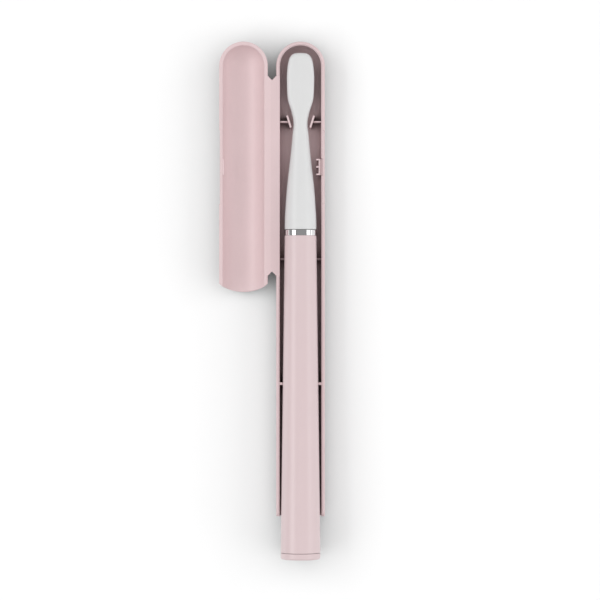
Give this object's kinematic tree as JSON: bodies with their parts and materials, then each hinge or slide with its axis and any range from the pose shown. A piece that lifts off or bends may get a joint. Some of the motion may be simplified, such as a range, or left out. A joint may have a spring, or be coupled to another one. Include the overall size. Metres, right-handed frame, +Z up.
{
  "type": "electric toothbrush in travel case",
  "caption": "Slim powered toothbrush lying bristles-down in a long open travel tray, with a half-length lid folded out flat on a moulded strip hinge.",
  "frame": {"origin": "middle of the box's base: on the surface the part lies on, under the lid's fold line, halfway between the case's domed end and the brush's foot", "axes": "+Y along the brush towards its bristle head, +Z up out of the open case, +X from the fold line towards the tray that holds the brush"},
  "size_m": [0.0472, 0.2304, 0.0213],
  "materials": {
    "case_plastic": "pale pink moulded polypropylene, satin",
    "handle_plastic": "pale pink soft satin plastic",
    "ring_metal": "polished plated metal",
    "head_plastic": "white satin plastic",
    "bristle_nylon": "white nylon filaments",
    "inner_plastic": "natural moulded plastic",
    "dark_rubber": "black silicone rubber",
    "clear_lens": "milky light guide",
    "steel": "plain machined steel",
    "bronze": "sintered bronze",
    "copper_wire": "enamelled copper wire",
    "magnet": "nickel-plated magnet",
    "ferrite": "pressed ferrite, matt",
    "board": "green solder mask on fibreglass",
    "chip_plastic": "black moulded component bodies",
    "led_lens": "clear yellowish lens",
    "cell_sleeve": "blue shrink sleeve",
    "foam": "dark open-cell foam",
    "lead_sleeve": "red insulated wire"
  },
  "bodies": {
    "tray": {"case_tray": "case_plastic", "neck_clip": "case_plastic", "saddle_ribs": "case_plastic", "latch_tongue": "case_plastic", "living_hinge": "case_plastic"},
    "lid": {"case_lid": "case_plastic"},
    "brush": {"handle_shell": "handle_plastic", "metal_ring": "ring_metal", "foot_cap": "handle_plastic", "foot_cap_seal": "dark_rubber", "nose_plug": "inner_plastic", "shaft_seal": "dark_rubber", "indicator_lens": "clear_lens", "chassis": "inner_plastic", "circuit_board": "board", "board_screws": "steel", "control_chips": "chip_plastic", "status_led": "led_lens", "tact_switch": "chip_plastic", "battery_cell": "cell_sleeve", "battery_foam": "foam", "battery_tabs": "steel", "motor_can": "steel", "front_bearing": "bronze", "rear_bearing": "bronze", "stator_core": "steel", "stator_coil": "copper_wire", "motor_leads": "lead_sleeve", "charging_coil": "copper_wire", "coil_former": "inner_plastic", "ferrite_core": "ferrite", "coil_leads": "copper_wire"},
    "head": {"brush_stem": "head_plastic", "shaft_socket": "inner_plastic", "bristle_tufts": "bristle_nylon", "drive_shaft": "steel", "torsion_rod": "steel", "rotor_yoke": "steel", "shaft_collar": "steel", "rotor_magnets": "magnet"},
    "button": {"power_button": "handle_plastic", "button_pad": "dark_rubber", "switch_plunger": "inner_plastic"}
  },
  "joints": [
    {"name": "lid_fold", "type": "hinge", "parent": "tray", "child": "lid", "pos_m": [0, 0.055, 0.01205], "axis": [0, 1, 0], "range_deg": [0, 180], "deforming": ["living_hinge"]},
    {"name": "brush_lift", "type": "slide", "parent": "tray", "child": "brush", "axis": [0, 0, 1], "range_m": [0, 0.06]},
    {"name": "head_swing", "type": "hinge", "parent": "brush", "child": "head", "pos_m": [0.0127, 0, 0.0124], "axis": [0, 1, 0], "range_deg": [-4, 4], "stiffness_Nm_per_rad": 0.02},
    {"name": "button_press", "type": "slide", "parent": "brush", "child": "button", "axis": [0, 0, 1], "range_m": [0, 0.0005], "stiffness_N_per_m": 500, "springref_m": -0.0003}
  ]
}
